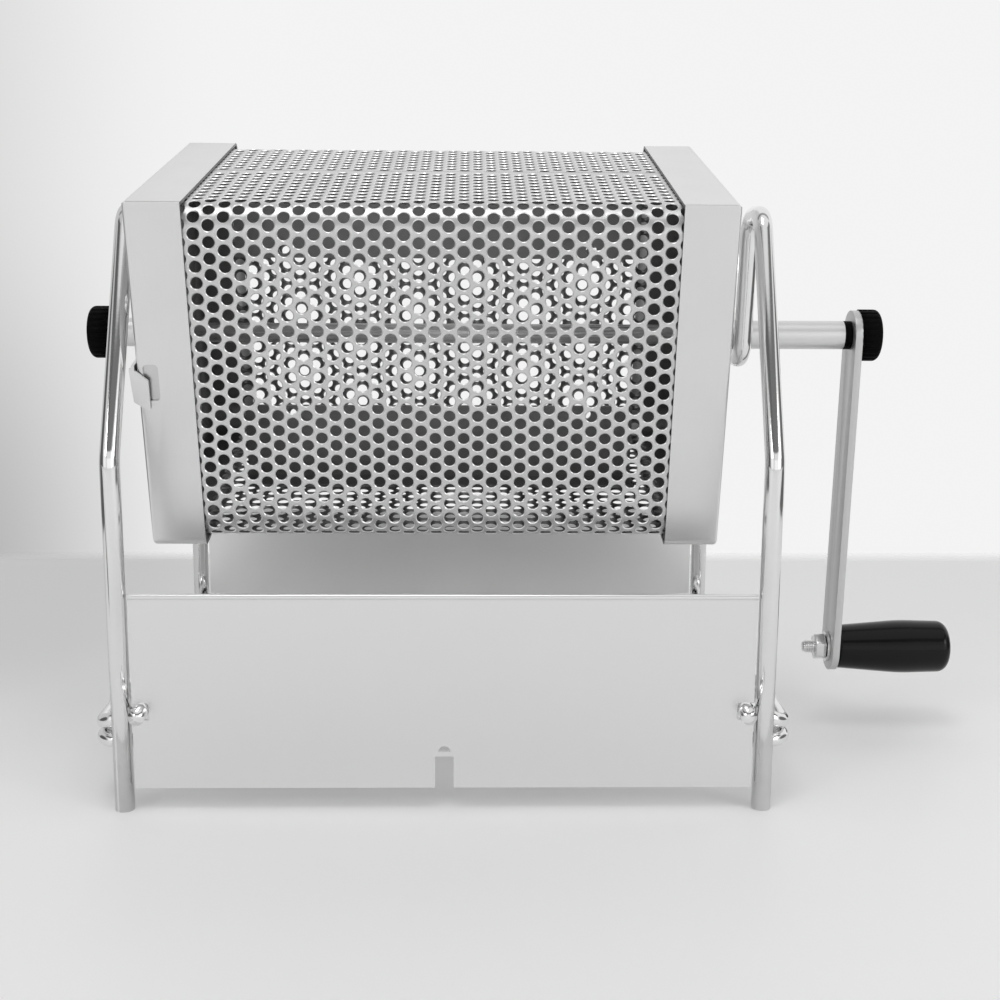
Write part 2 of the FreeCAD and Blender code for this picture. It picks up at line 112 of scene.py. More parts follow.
class RoasterSizes(bpy.types.PropertyGroup):
    """Sizes of the pieces that are modelled here."""
    hole_width: length("Hole width", 0.003, "Diameter of the holes in the drum's sheet")
    row_pitch: length("Row pitch", 0.00407, "Distance between the rows of holes round the drum")
    column_pitch: length("Column pitch", 0.00366, "Distance between the columns of holes along the drum")
    row_shift: length("Row shift", 0.00075, "How far the rows are moved forward round the drum")
    hole_roll: length("Hole roll", 0.00022, "Width and depth of the rolled rim round each hole")
    sheet_wall: length("Sheet wall", 0.0008, "Thickness of the drum's sheet")
    sheet_out: length("Sheet half width", 0.04485, "From the axle to the outside of the sheet")
    sheet_bend: length("Sheet bend", 0.008, "Outside radius of the sheet's four bends")
    sheet_half: length("Sheet half length", 0.0741, "From the middle of the drum to the sheet's edge")
    seam_gap: length("Seam gap", 0.0003, "Gap between the sheet's two edges, on the top face")
    seam_place: length("Seam place", 0.003, "From the middle of the top face back to the seam")
    cap_edge: length("Cap edge", 0.0007, "Radius where a cap's end wall folds into its flanges")
    arm_edge: length("Arm edge", 0.0004, "Radius of the crank arm's edges")
    bolt_width: length("Bolt width", 0.004, "Diameter over the bolt's thread")
    thread_pitch: length("Thread pitch", 0.0007, "Distance between the turns of the thread")
    nut_across: length("Nut across flats", 0.007, "Width of the grip's nut across its flats")
    columns: IntProperty(name="Hole columns", default=35, min=3, max=61,
                         description="Columns of holes along the drum")
    drum_tilt: FloatProperty(name="Drum tilt", default=math.radians(12.4), subtype="ANGLE", unit="ROTATION",
                             description="How far the drum is turned at rest")
    arm_tilt: FloatProperty(name="Arm tilt", default=math.radians(4.3), subtype="ANGLE", unit="ROTATION",
                            description="How far the crank is turned at rest")


class RoasterFinishes(bpy.types.PropertyGroup):
    """Colours of the finishes."""
    sheet_steel: tint("Drum sheet", 0.70, "Bright stainless of the perforated sheet")
    # Painted highlight: the hole rims are a brighter copy of the sheet steel. Their rolled shape also catches
    # real highlights.
    rim_painted_highlight: tint("Hole rims", 0.95, "Edges round the holes, brighter as painted highlight")
    # Painted shade: the drum's inside is a darker copy of the steel, standing in for the shade inside the drum.
    inside_painted_shade: tint("Drum inside", 0.30, "Steel inside the drum, darkened as painted shade")
    cap_steel: tint("Folded steel", 0.80, "Satin stainless of the caps, cover and screens")
    wire_steel: tint("Wire", 0.86, "Polished wire of the stand")
    turned_steel: tint("Turned steel", 0.84, "Axle, sleeves and collars")
    zinc: tint("Zinc", 0.78, "Bright plated nuts, bolt and washer")
    knob_black: tint("Knob black", 0.002, "Matt black plastic of the knobs")
    grip_black: tint("Grip black", 0.003, "Glossy black plastic of the grip")
    table: tint("Table", 0.96, "Plain pale table")


# Finishes

def node(tree, kind, **values):
    """A new shader node with its settings."""
    made = tree.nodes.new(kind)
    for key, value in values.items():
        setattr(made, key, value)
    return made


def surface_grain():
    """Fine grain and broad soft marks, shared by every metal and plastic here."""
    group = bpy.data.node_groups.get("surface_grain")
    if group:
        return group
    group = bpy.data.node_groups.new("surface_grain", "ShaderNodeTree")
    sockets = group.interface
    for name, kind, value in (("Stretch", "NodeSocketVector", (1.0, 1.0, 1.0)),
                              ("Fineness", "NodeSocketFloat", 3000.0),
                              ("Mark Scale", "NodeSocketFloat", 45.0),
                              ("Dull Color", "NodeSocketColor", (0.6, 0.6, 0.6, 1.0)),
                              ("Bright Color", "NodeSocketColor", (0.8, 0.8, 0.8, 1.0)),
                              ("Smooth", "NodeSocketFloat", 0.2),
                              ("Rough", "NodeSocketFloat", 0.3),
                              ("Depth", "NodeSocketFloat", 0.1)):
        socket = sockets.new_socket(name, in_out="INPUT", socket_type=kind)
        socket.default_value = value
    sockets.new_socket("Color", in_out="OUTPUT", socket_type="NodeSocketColor")
    sockets.new_socket("Roughness", in_out="OUTPUT", socket_type="NodeSocketFloat")
    sockets.new_socket("Normal", in_out="OUTPUT", socket_type="NodeSocketVector")
    given = node(group, "NodeGroupInput")
    place = node(group, "ShaderNodeTexCoord")
    along = node(group, "ShaderNodeMapping")
    streaks = node(group, "ShaderNodeTexNoise")
    streaks.inputs["Detail"].default_value = 5.0
    streaks.inputs["Roughness"].default_value = 0.6
    marks = node(group, "ShaderNodeTexNoise")
    marks.inputs["Detail"].default_value = 3.0
    spread = node(group, "ShaderNodeMapRange")
    spread.inputs["From Min"].default_value = 0.3
    spread.inputs["From Max"].default_value = 0.7
    share = node(group, "ShaderNodeMix", data_type="FLOAT")
    share.inputs["Factor"].default_value = 0.55
    shade = node(group, "ShaderNodeMix", data_type="RGBA")
    gloss = node(group, "ShaderNodeMix", data_type="FLOAT")
    bump = node(group, "ShaderNodeBump")
    bump.inputs["Distance"].default_value = 0.0001
    out = node(group, "NodeGroupOutput")
    link = group.links.new
    link(place.outputs["Object"], along.inputs["Vector"])
    link(given.outputs["Stretch"], along.inputs["Scale"])
    link(along.outputs["Vector"], streaks.inputs["Vector"])
    link(given.outputs["Fineness"], streaks.inputs["Scale"])
    link(place.outputs["Object"], marks.inputs["Vector"])
    link(given.outputs["Mark Scale"], marks.inputs["Scale"])
    link(marks.outputs["Fac"], spread.inputs["Value"])
    link(streaks.outputs["Fac"], share.inputs["A"])
    link(spread.outputs["Result"], share.inputs["B"])
    link(share.outputs["Result"], shade.inputs["Factor"])
    link(given.outputs["Dull Color"], shade.inputs["A"])
    link(given.outputs["Bright Color"], shade.inputs["B"])
    link(share.outputs["Result"], gloss.inputs["Factor"])
    link(given.outputs["Rough"], gloss.inputs["A"])
    link(given.outputs["Smooth"], gloss.inputs["B"])
    link(streaks.outputs["Fac"], bump.inputs["Height"])
    link(given.outputs["Depth"], bump.inputs["Strength"])
    link(shade.outputs["Result"], out.inputs["Color"])
    link(gloss.outputs["Result"], out.inputs["Roughness"])
    link(bump.outputs["Normal"], out.inputs["Normal"])
    return group


def finish(name, color, smooth, rough, metallic=1.0, stretch=(1.0, 1.0, 1.0), fineness=3000.0, marks=45.0,
           depth=0.1, dulling=0.88, coat=0.0, specular=0.5):
    """A Principled finish whose colour, roughness and bump come from the shared grain."""
    material = bpy.data.materials.get(name)
    if material:
        return material
    material = bpy.data.materials.new(name)
    material.use_nodes = True
    tree = material.node_tree
    shader = tree.nodes["Principled BSDF"]
    grain = node(tree, "ShaderNodeGroup")
    grain.node_tree = surface_grain()
    grain.inputs["Stretch"].default_value = stretch
    grain.inputs["Fineness"].default_value = fineness
    grain.inputs["Mark Scale"].default_value = marks
    grain.inputs["Bright Color"].default_value = color
    grain.inputs["Dull Color"].default_value = [c * dulling for c in color[:3]] + [1.0]
    grain.inputs["Smooth"].default_value = smooth
    grain.inputs["Rough"].default_value = rough
    grain.inputs["Depth"].default_value = depth
    shader.inputs["Metallic"].default_value = metallic
    shader.inputs["Specular IOR Level"].default_value = specular
    shader.inputs["Coat Weight"].default_value = coat
    shader.inputs["Coat Roughness"].default_value = 0.08
    tree.links.new(grain.outputs["Color"], shader.inputs["Base Color"])
    tree.links.new(grain.outputs["Roughness"], shader.inputs["Roughness"])
    tree.links.new(grain.outputs["Normal"], shader.inputs["Normal"])
    return material


def finishes():
    return bpy.context.scene.roaster_finishes


def sizes():
    return bpy.context.scene.roaster_sizes


def drum_sheet_steel():
    return finish("drum_sheet_steel", finishes().sheet_steel, smooth=0.28, rough=0.38, stretch=(0.15, 1.0, 1.0),
                  depth=0.08)


# Painted highlight: brighter steel for the rims round the holes.
def rim_painted_highlight():
    return finish("rim_painted_highlight", finishes().rim_painted_highlight, smooth=0.30, rough=0.42, dulling=0.95)


# Painted shade: darker steel for the drum's inside, its inner wall, caps' inside and vanes.
def inside_painted_shade():
    return finish("inside_painted_shade", finishes().inside_painted_shade, smooth=0.34, rough=0.5, stretch=(0.2, 1.0, 1.0),
                  dulling=0.7)


def cap_steel():
    return finish("cap_steel", finishes().cap_steel, smooth=0.28, rough=0.34, stretch=(1.0, 0.06, 0.06),
                  fineness=2500.0, depth=0.10, dulling=0.94)


def screen_steel():
    return finish("screen_steel", finishes().cap_steel, smooth=0.27, rough=0.31, stretch=(0.04, 1.0, 1.0),
                  fineness=2200.0, marks=18.0, depth=0.03, dulling=0.985)


def wire_steel():
    return finish("wire_steel", finishes().wire_steel, smooth=0.05, rough=0.12, fineness=700.0, depth=0.05,
                  dulling=0.93)


def turned_steel():
    return finish("turned_steel", finishes().turned_steel, smooth=0.07, rough=0.14, stretch=(1.0, 0.03, 0.03),
                  fineness=4000.0, depth=0.08)


def zinc():
    return finish("bright_zinc", finishes().zinc, smooth=0.12, rough=0.28, fineness=1800.0, depth=0.12,
                  dulling=0.8)


def arm_steel():
    return finish("arm_steel", finishes().turned_steel, smooth=0.2, rough=0.3, stretch=(1.0, 1.0, 0.05),
                  depth=0.10, dulling=0.95)


def knob_black():
    return finish("knob_black", finishes().knob_black, smooth=0.45, rough=0.6, metallic=0.0,
                  fineness=2500.0, depth=0.15, dulling=1.6, specular=0.04)


def grip_black():
    return finish("grip_black", finishes().grip_black, smooth=0.16, rough=0.28, metallic=0.0,
                  fineness=900.0, depth=0.06, dulling=1.5, coat=0.12, specular=0.16)


# Pieces

def keep_node(name, material):
    """A CAD node whose shape is right keeps it, under a better finish."""
    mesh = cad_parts[name].data
    mesh.materials.clear()
    mesh.materials.append(material)


def add_piece(bm, name, body, materials, stands_for, flat_above=FLAT_ABOVE):
    """Makes the modelled shape a piece on its body, in place of the CAD nodes that it stands for."""
    mesh = bpy.data.meshes.new(name)
    bm.to_mesh(mesh)
    bm.free()
    mesh.shade_smooth()
    mesh.set_sharp_from_angle(angle=math.radians(flat_above))
    for material in materials:
        mesh.materials.append(material)
    piece = bpy.data.objects.new(name, mesh)
    bpy.context.scene.collection.objects.link(piece)
    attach(piece, body)
    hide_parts(*stands_for)
    return piece


def everything(bm):
    return bm.verts[:] + bm.edges[:] + bm.faces[:]


def drum_place(turns=0):
    """From the drum square about the axle to its place, with a side turned to the front."""
    lift = Matrix.Translation((drum_x, 0.0, axle_z))
    return lift @ Matrix.Rotation(sizes().drum_tilt + math.radians(90 * turns), 4, "X")


def edges_of(verts):
    """The edges at some corners, each once and in the same order every run."""
    return list(dict.fromkeys(edge for p in verts for edge in p.link_edges))


def hole_cell(bm, x, v, holed):
    """One cell of the sheet, with its hole and the hole's rolled rim, or plain."""
    size = sizes()
    wide = size.column_pitch
    steps = HOLE_CORNERS // 4
    grid = bmesh.ops.create_grid(bm, x_segments=steps, y_segments=steps, size=0.5)["verts"]
    if holed:
        bmesh.ops.delete(bm, geom=[p for p in grid if not p.is_boundary], context="VERTS")
        grid = [p for p in grid if p.is_valid]
        border = edges_of(grid)
        for corner in grid:
            corner.co = (corner.co.x * wide, corner.co.y * size.row_pitch, 0.0)
        outer = size.hole_width / 2 + size.hole_roll
        ring = bmesh.ops.create_circle(bm, segments=HOLE_CORNERS, radius=outer)["verts"]
        rim = edges_of(ring)
        bmesh.ops.bridge_loops(bm, edges=border + rim)
        rolled = bmesh.ops.extrude_edge_only(bm, edges=rim)["geom"]
        inner = [p for p in rolled if isinstance(p, bmesh.types.BMVert)]
        # The rolled rim takes the brighter rim finish, a painted highlight.
        for face in (f for f in rolled if isinstance(f, bmesh.types.BMFace)):
            face.material_index = RIM
        bmesh.ops.scale(bm, verts=inner, vec=(size.hole_width / 2 / outer,) * 2 + (1.0,))
        bmesh.ops.translate(bm, verts=inner, vec=(0.0, 0.0, -size.hole_roll))
        grid = grid + ring + inner
    else:
        bmesh.ops.scale(bm, verts=grid, vec=(wide, size.row_pitch, 1.0))
    bmesh.ops.translate(bm, verts=grid, vec=(x, v, 0.0))


def seam_line():
    """Where the seam lies on the flat side, before its rows are moved."""
    return sizes().seam_place + sizes().row_shift


def holed_side(seamed):
    """One side of the sheet laid flat, from the middle of one bend to the middle of the next."""
    size = sizes()
    pitch = size.row_pitch
    wide = size.column_pitch
    half = size.columns // 2
    bm = bmesh.new()
    for first, count in ((-half, half + 1), (1 - half, half)):
        lowest = -(SIDE_ROWS // 2)
        shift = 0.0
        if first % 2 == 0:
            lowest -= 1
            shift = pitch / 2
        strip = bmesh.new()
        for row in range(lowest, lowest + SIDE_ROWS):
            v = row * pitch + shift
            plain = seamed and abs(v - seam_line()) < pitch * SEAM_PLAIN
            hole_cell(strip, first * wide, v, holed=not plain)
        bmesh.ops.spin(strip, geom=everything(strip), cent=(0, 0, 0), axis=(1, 0, 0),
                       dvec=(2 * wide, 0, 0), angle=0.0, steps=count - 1, use_duplicate=True)
        rows_mesh = bpy.data.meshes.new("strip")
        strip.to_mesh(rows_mesh)
        strip.free()
        bm.from_mesh(rows_mesh)
        bpy.data.meshes.remove(rows_mesh)
    bmesh.ops.remove_doubles(bm, verts=bm.verts, dist=NEAR)
    return bm


def plain_ends(bm):
    """The plain edges of the sheet that the caps' flanges hold."""
    size = sizes()
    reach = max(p.co.x for p in bm.verts)
    for side in (-1, 1):
        edges = [e for e in bm.edges if e.is_boundary and all(p.co.x * side > reach - NEAR for p in e.verts)]
        grown = bmesh.ops.extrude_edge_only(bm, edges=edges)["geom"]
        verts = [p for p in grown if isinstance(p, bmesh.types.BMVert)]
        bmesh.ops.translate(bm, verts=verts, vec=(side * (size.sheet_half - reach), 0.0, 0.0))


def open_seam(bm):
    """Cuts the narrow seam where the sheet's two edges meet."""
    half_gap = sizes().seam_gap / 2
    seam = seam_line()
    for side in (-1, 1):
        bmesh.ops.bisect_plane(bm, geom=everything(bm), dist=CUT, plane_co=(0.0, seam + side * half_gap, 0.0),
                               plane_no=(0.0, 1.0, 0.0))
    strip = [f for f in bm.faces if abs(f.calc_center_median().y - seam) < half_gap]
    bmesh.ops.delete(bm, geom=strip, context="FACES")


def wrap_round_bends(bm):
    """Carries the flat side round half of the bend at each end, keeping depths square to the sheet."""
    size = sizes()
    flat = size.sheet_out - size.sheet_bend
    side_run = SIDE_ROWS * size.row_pitch
    bend_run = side_run - 2 * flat
    for p in bm.verts:
        v = p.co.y - size.row_shift
        depth = p.co.z
        beyond = abs(v) - flat
        if beyond <= 0.0:
            p.co.y = v
            p.co.z = size.sheet_out + depth
            continue
        turn = beyond / bend_run * math.pi / 2
        radius = size.sheet_bend + depth
        p.co.y = math.copysign(flat + radius * math.sin(turn), v)
        p.co.z = flat + radius * math.cos(turn)


def paint_sheet_inside_shade(bm):
    """Gives the sheet's inner wall the darker finish of painted shade, before the side is put in its place."""
    size = sizes()
    flat = size.sheet_out - size.sheet_bend
    inner = size.sheet_bend - size.sheet_wall * INNER_DEPTH
    for f in bm.faces:
        middle = f.calc_center_median()
        beyond = max(abs(middle.y) - flat, 0.0)
        away = Vector((0.0, math.copysign(beyond, middle.y), middle.z - flat))
        if away.length < inner and f.normal.dot(away) < 0.0:
            f.material_index = SHEET_INSIDE


class ROASTER_OT_drum_sheet(bpy.types.Operator):
    """Perforated sheet wrapped round the drum, its holes running on over the four bends"""
    bl_idname = "roaster.drum_sheet"
    bl_label = "Drum sheet"

    def execute(self, context):
        for turns, side in enumerate(("top", "front", "bottom", "rear")):
            bm = holed_side(seamed=side == "top")
            plain_ends(bm)
            if side == "top":
                open_seam(bm)
            wrap_round_bends(bm)
            bmesh.ops.recalc_face_normals(bm, faces=bm.faces)
            upward = sum(f.normal.z * f.calc_area() for f in bm.faces)
            if upward < 0.0:
                bmesh.ops.reverse_faces(bm, faces=bm.faces)
            bmesh.ops.solidify(bm, geom=bm.faces[:], thickness=sizes().sheet_wall)
            paint_sheet_inside_shade(bm)
            bmesh.ops.transform(bm, matrix=drum_place(turns), verts=bm.verts)
            add_piece(bm, "perforated_" + side, "drum",
                      (drum_sheet_steel(), rim_painted_highlight(), inside_painted_shade()), ("sheet_" + side, "sheet_bends"))
        return {"FINISHED"}


def cad_copy(name):
    """A CAD node's shape with its corners welded."""
    bm = bmesh.new()
    bm.from_mesh(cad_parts[name].data)
    bmesh.ops.remove_doubles(bm, verts=bm.verts, dist=WELD)
    return bm


def merged_copy(name):
    """A CAD node's shape as whole flat faces, ready for its edges to be softened."""
    bm = cad_copy(name)
    bmesh.ops.dissolve_limit(bm, angle_limit=math.radians(SAME_FACE), verts=bm.verts, edges=bm.edges)
    return bm


def round_piece(name, piece_name, body, material):
    """A round CAD node's shape with smooth shading over its turns and bends."""
    return add_piece(cad_copy(name), piece_name, body, (material,), (name,))


def soften(bm, edges, radius, segments):
    """Rounds edges to a radius."""
    bmesh.ops.bevel(bm, geom=edges, offset=radius, offset_type="OFFSET", affect="EDGES", segments=segments,
                    profile=0.5, material=-1, clamp_overlap=True)


def sharp_edges(bm):
    """The edges where two faces meet at about a right angle."""
    return [e for e in bm.edges if e.is_manifold and e.calc_face_angle() > math.radians(SHARP_ABOVE)]


def fold_is_outside(edge):
    """Whether an edge of the end wall lies on the cap's outer square and not round an opening."""
    middle = (edge.verts[0].co + edge.verts[1].co) / 2
    local = drum_place().inverted() @ middle
    return max(abs(local.y), abs(local.z)) > sizes().sheet_out - FOLD_REACH


def paint_cap_inside_shade(bm):
    """Gives the faces of a cap's end wall that look into the drum the darker finish of painted shade."""
    middle = Vector((drum_x, 0.0, axle_z))
    for f in bm.faces:
        seen = f.calc_center_median() - middle
        local = drum_place().inverted().to_3x3() @ seen
        within = max(abs(local.y), abs(local.z)) < sizes().sheet_out
        across_axle = abs(f.normal.x) > 0.9
        if within and across_axle and f.normal.dot(seen) < 0.0:
            f.material_index = CAP_INSIDE


class ROASTER_OT_end_caps(bpy.types.Operator):
    """Folded caps at the drum's ends, with rounded folds between wall and flanges"""
    bl_idname = "roaster.end_caps"
    bl_label = "End caps"

    def execute(self, context):
        for side, outer in (("left", cap_left_low.x), ("right", cap_right_high.x)):
            bm = merged_copy("end_cap_" + side)
            rims = [e for e in sharp_edges(bm) if all(abs(p.co.x - outer) < NEAR for p in e.verts)]
            soften(bm, [e for e in rims if fold_is_outside(e)], sizes().cap_edge, segments=4)
            paint_cap_inside_shade(bm)
            add_piece(bm, "cap_" + side, "drum", (cap_steel(), inside_painted_shade()),
                      ("end_cap_" + side,))
        return {"FINISHED"}


class ROASTER_OT_hatch_cover(bpy.types.Operator):
    """Swinging cover over the hatch in the left end, and its rivet"""
    bl_idname = "roaster.hatch_cover"
    bl_label = "Hatch cover"

    def execute(self, context):
        keep_node("end_cover", cap_steel())
        round_piece("cover_rivet", "hatch_rivet", "drum", turned_steel())
        return {"FINISHED"}


class ROASTER_OT_vanes(bpy.types.Operator):
    """Stirring vanes inside the drum"""
    bl_idname = "roaster.vanes"
    bl_label = "Stirring vanes"

    def execute(self, context):
        for name in ("vane_upper", "vane_lower"):
            # The vanes take the drum's inside finish, a darker steel painted as shade.
            keep_node(name, inside_painted_shade())
        return {"FINISHED"}


class ROASTER_OT_axle_fittings(bpy.types.Operator):
    """Axle, sleeves, collars, grub screws and nuts"""
    bl_idname = "roaster.axle_fittings"
    bl_label = "Axle and fittings"

    def execute(self, context):
        for name in ("axle", "collar_left", "collar_right", "sleeve_left", "sleeve_right"):
            round_piece(name, "turned_" + name, "drum", turned_steel())
        for name in ("axle_nuts", "grub_screws"):
            keep_node(name, zinc())
        return {"FINISHED"}


class ROASTER_OT_knobs(bpy.types.Operator):
    """Fluted knobs at the axle's ends, and the plastic spacer by the crank"""
    bl_idname = "roaster.knobs"
    bl_label = "Knobs and spacer"

    def execute(self, context):
        for name in ("knob_left", "knob_right", "spacer_ring"):
            round_piece(name, "moulded_" + name, "drum", knob_black())
        return {"FINISHED"}


class ROASTER_OT_crank_arm(bpy.types.Operator):
    """Flat crank arm with softened edges"""
    bl_idname = "roaster.crank_arm"
    bl_label = "Crank arm"

    def execute(self, context):
        bm = merged_copy("crank_arm")
        soften(bm, sharp_edges(bm), sizes().arm_edge, segments=3)
        add_piece(bm, "arm", "drum", (arm_steel(),), ("crank_arm",))
        return {"FINISHED"}


def thread(bm, start, end, outer, pitch):
    """A screw thread along X: one tooth of the profile spun through every turn."""
    root = outer - pitch * THREAD_DEPTH
    rise, fall = THREAD_CREST
    turns = int((end - start) / pitch)
    profile = ((0.0, root), (pitch * rise, outer), (pitch * fall, outer), (pitch, root))
    tooth = [bm.verts.new((start + x, 0.0, radius)) for x, radius in profile]
    edges = [bm.edges.new(pair) for pair in zip(tooth, tooth[1:])]
    bmesh.ops.spin(bm, geom=tooth + edges, cent=(0, 0, 0), axis=(1, 0, 0), dvec=(pitch / THREAD_STEPS, 0, 0),
                   angle=2 * math.pi * turns, steps=THREAD_STEPS * turns, use_duplicate=False)
    bmesh.ops.remove_doubles(bm, verts=bm.verts, dist=THREAD_WELD)


def rod(bm, outer, start, end, segments, rounding=0.0):
    """A closed rod along X, rounded at its near end."""
    turn = Matrix.Rotation(math.radians(90), 4, "Y")
    made = bmesh.ops.create_cone(bm, cap_ends=True, segments=segments, radius1=outer, radius2=outer,
                                 depth=end - start, matrix=Matrix.Translation(((start + end) / 2, 0, 0)) @ turn)
    if rounding:
        near = [e for e in edges_of(made["verts"]) if all(abs(p.co.x - start) < NEAR for p in e.verts)]
        soften(bm, near, rounding, segments=4)


class ROASTER_OT_grip_fasteners(bpy.types.Operator):
    """Threaded bolt through the grip, with its chamfered nut and washer"""
    bl_idname = "roaster.grip_fasteners"
    bl_label = "Grip bolt, nut and washer"

    def execute(self, context):
        size = sizes()
        place = Matrix.Translation((0.0, bolt_y, bolt_z)) @ Matrix.Rotation(size.arm_tilt, 4, "X")
        outer = size.bolt_width / 2
        bm = bmesh.new()
        thread(bm, bolt_low.x + THREAD_START, nut_high.x, outer, size.thread_pitch)
        core = outer - size.thread_pitch * CORE_DEPTH
        rod(bm, core, bolt_low.x, nut_high.x, segments=32, rounding=BOLT_ROUND)
        bmesh.ops.recalc_face_normals(bm, faces=bm.faces)
        bmesh.ops.transform(bm, matrix=place, verts=bm.verts)
        add_piece(bm, "bolt_thread", "drum", (zinc(),), ("grip_bolt",),
                  THREAD_FLAT_ABOVE)
        bm = merged_copy("grip_bolt")
        bmesh.ops.bisect_plane(bm, geom=everything(bm), dist=CUT, plane_co=(nut_high.x - SHANK_START, 0.0, 0.0),
                               plane_no=(-1.0, 0.0, 0.0), clear_outer=True)
        bmesh.ops.holes_fill(bm, edges=[e for e in bm.edges if e.is_boundary])
        add_piece(bm, "bolt_shank", "drum", (zinc(),), ("grip_bolt",))
        bm = bmesh.new()
        rod(bm, size.nut_across / math.sqrt(3), nut_low.x, nut_high.x, segments=6)
        bmesh.ops.rotate(bm, verts=bm.verts, cent=(0, 0, 0), matrix=Matrix.Rotation(math.radians(30), 3, "X"))
        soften(bm, bm.edges[:], NUT_ROUND, segments=2)
        bmesh.ops.transform(bm, matrix=place, verts=bm.verts)
        add_piece(bm, "hex_nut", "drum", (zinc(),), ("grip_nut",))
        round_piece("grip_washer", "plain_washer", "drum", zinc())
        return {"FINISHED"}


class ROASTER_OT_grip(bpy.types.Operator):
    """Turning grip of the crank"""
    bl_idname = "roaster.grip"
    bl_label = "Crank grip"

    def execute(self, context):
        round_piece("crank_grip", "moulded_grip", "grip", grip_black())
        return {"FINISHED"}


class ROASTER_OT_wire_stand(bpy.types.Operator):
    """Bent side frames and side rails of polished wire"""
    bl_idname = "roaster.wire_stand"
    bl_label = "Wire stand"

    def execute(self, context):
        for name in ("frame_left", "frame_right", "rail_upper_left", "rail_upper_right", "rail_lower_left",
                     "rail_lower_right"):
            round_piece(name, "wire_" + name, "stand", wire_steel())
        return {"FINISHED"}


class ROASTER_OT_screens(bpy.types.Operator):
    """Front and rear heat screens"""
    bl_idname = "roaster.screens"
    bl_label = "Heat screens"

    def execute(self, context):
        for name in ("screen_front", "screen_rear"):
            keep_node(name, screen_steel())
        return {"FINISHED"}


# Stage

def band(tree, value, low, high, low_out=0.0, high_out=1.0):
    """A smooth step of a value between two levels."""
    step = node(tree, "ShaderNodeMapRange", interpolation_type="SMOOTHSTEP")
    step.inputs["From Min"].default_value = low
    step.inputs["From Max"].default_value = high
    step.inputs["To Min"].default_value = low_out
    step.inputs["To Max"].default_value = high_out
    tree.links.new(value, step.inputs["Value"])
    return step.outputs["Result"]


def below(tree, value, low, high):
    """One under the lower level, falling smoothly to nought at the higher one."""
    return band(tree, value, low, high, 1.0, 0.0)


def times(tree, value, *others):
    """The product of two or more values."""
    for other in others:
        product = node(tree, "ShaderNodeMath", operation="MULTIPLY")
        tree.links.new(value, product.inputs[0])
        tree.links.new(other, product.inputs[1])
        value = product.outputs["Value"]
    return value


def between(tree, value, low, full, fading, gone):
    """One between two smooth edges of a value, and nought outside them."""
    return times(tree, band(tree, value, low, full), below(tree, value, fading, gone))


def scaled(tree, value, mask, level):
    """A value that is multiplied by a level where the mask is one."""
    return times(tree, value, band(tree, mask, 0.0, 1.0, 1.0, level))


def size_of(tree, value):
    """A value without its sign."""
    plain = node(tree, "ShaderNodeMath", operation="ABSOLUTE")
    tree.links.new(value, plain.inputs[0])
    return plain.outputs["Value"]


def table_finish():
    """Pale table that fades into the wall behind it, with painted shade towards its far edge and more at its
    far left. Painted dark reflections at its sides: only reflections show them.
    """
    material = bpy.data.materials.new("pale_table")
    material.use_nodes = True
    tree = material.node_tree
    shader = tree.nodes["Principled BSDF"]
    shader.inputs["Roughness"].default_value = 0.45
    shader.inputs["Specular IOR Level"].default_value = 0.3
    place = node(tree, "ShaderNodeTexCoord")
    split = node(tree, "ShaderNodeSeparateXYZ")
    clear = node(tree, "ShaderNodeBsdfTransparent")
    mix = node(tree, "ShaderNodeMixShader")
    rays = node(tree, "ShaderNodeLightPath")
    tone = node(tree, "ShaderNodeMix", data_type="RGBA")
    out = tree.nodes["Material Output"]
    link = tree.links.new
    link(place.outputs["Object"], split.inputs["Vector"])
    across, forward, _ = split.outputs
    # Painted shade: the table's colour darkens towards its far edge, and more at its far left.
    far = band(tree, forward, -0.08, 0.12)
    left = below(tree, across, -0.20, -0.02)
    # Painted reflection: dark patches at the table's sides, seen only by glossy rays, give the metal dark
    # reflections.
    sides = times(tree, band(tree, size_of(tree, across), 0.30, 0.36),
                  below(tree, size_of(tree, forward), 0.16, 0.24))
    painted_dark_reflection = times(tree, sides, rays.outputs["Is Glossy Ray"])
    level = band(tree, far, 0.0, 1.0, 1.0, 0.93)
    level = scaled(tree, level, times(tree, far, left), 0.78)
    level = scaled(tree, level, painted_dark_reflection, 0.12)
    tone.inputs["A"].default_value = (0.0, 0.0, 0.0, 1.0)
    tone.inputs["B"].default_value = finishes().table
    link(level, tone.inputs["Factor"])
    link(tone.outputs["Result"], shader.inputs["Base Color"])
    link(band(tree, forward, *TABLE_FADE), mix.inputs["Fac"])
    link(shader.outputs["BSDF"], mix.inputs[1])
    link(clear.outputs["BSDF"], mix.inputs[2])
    link(mix.outputs["Shader"], out.inputs["Surface"])
    return material


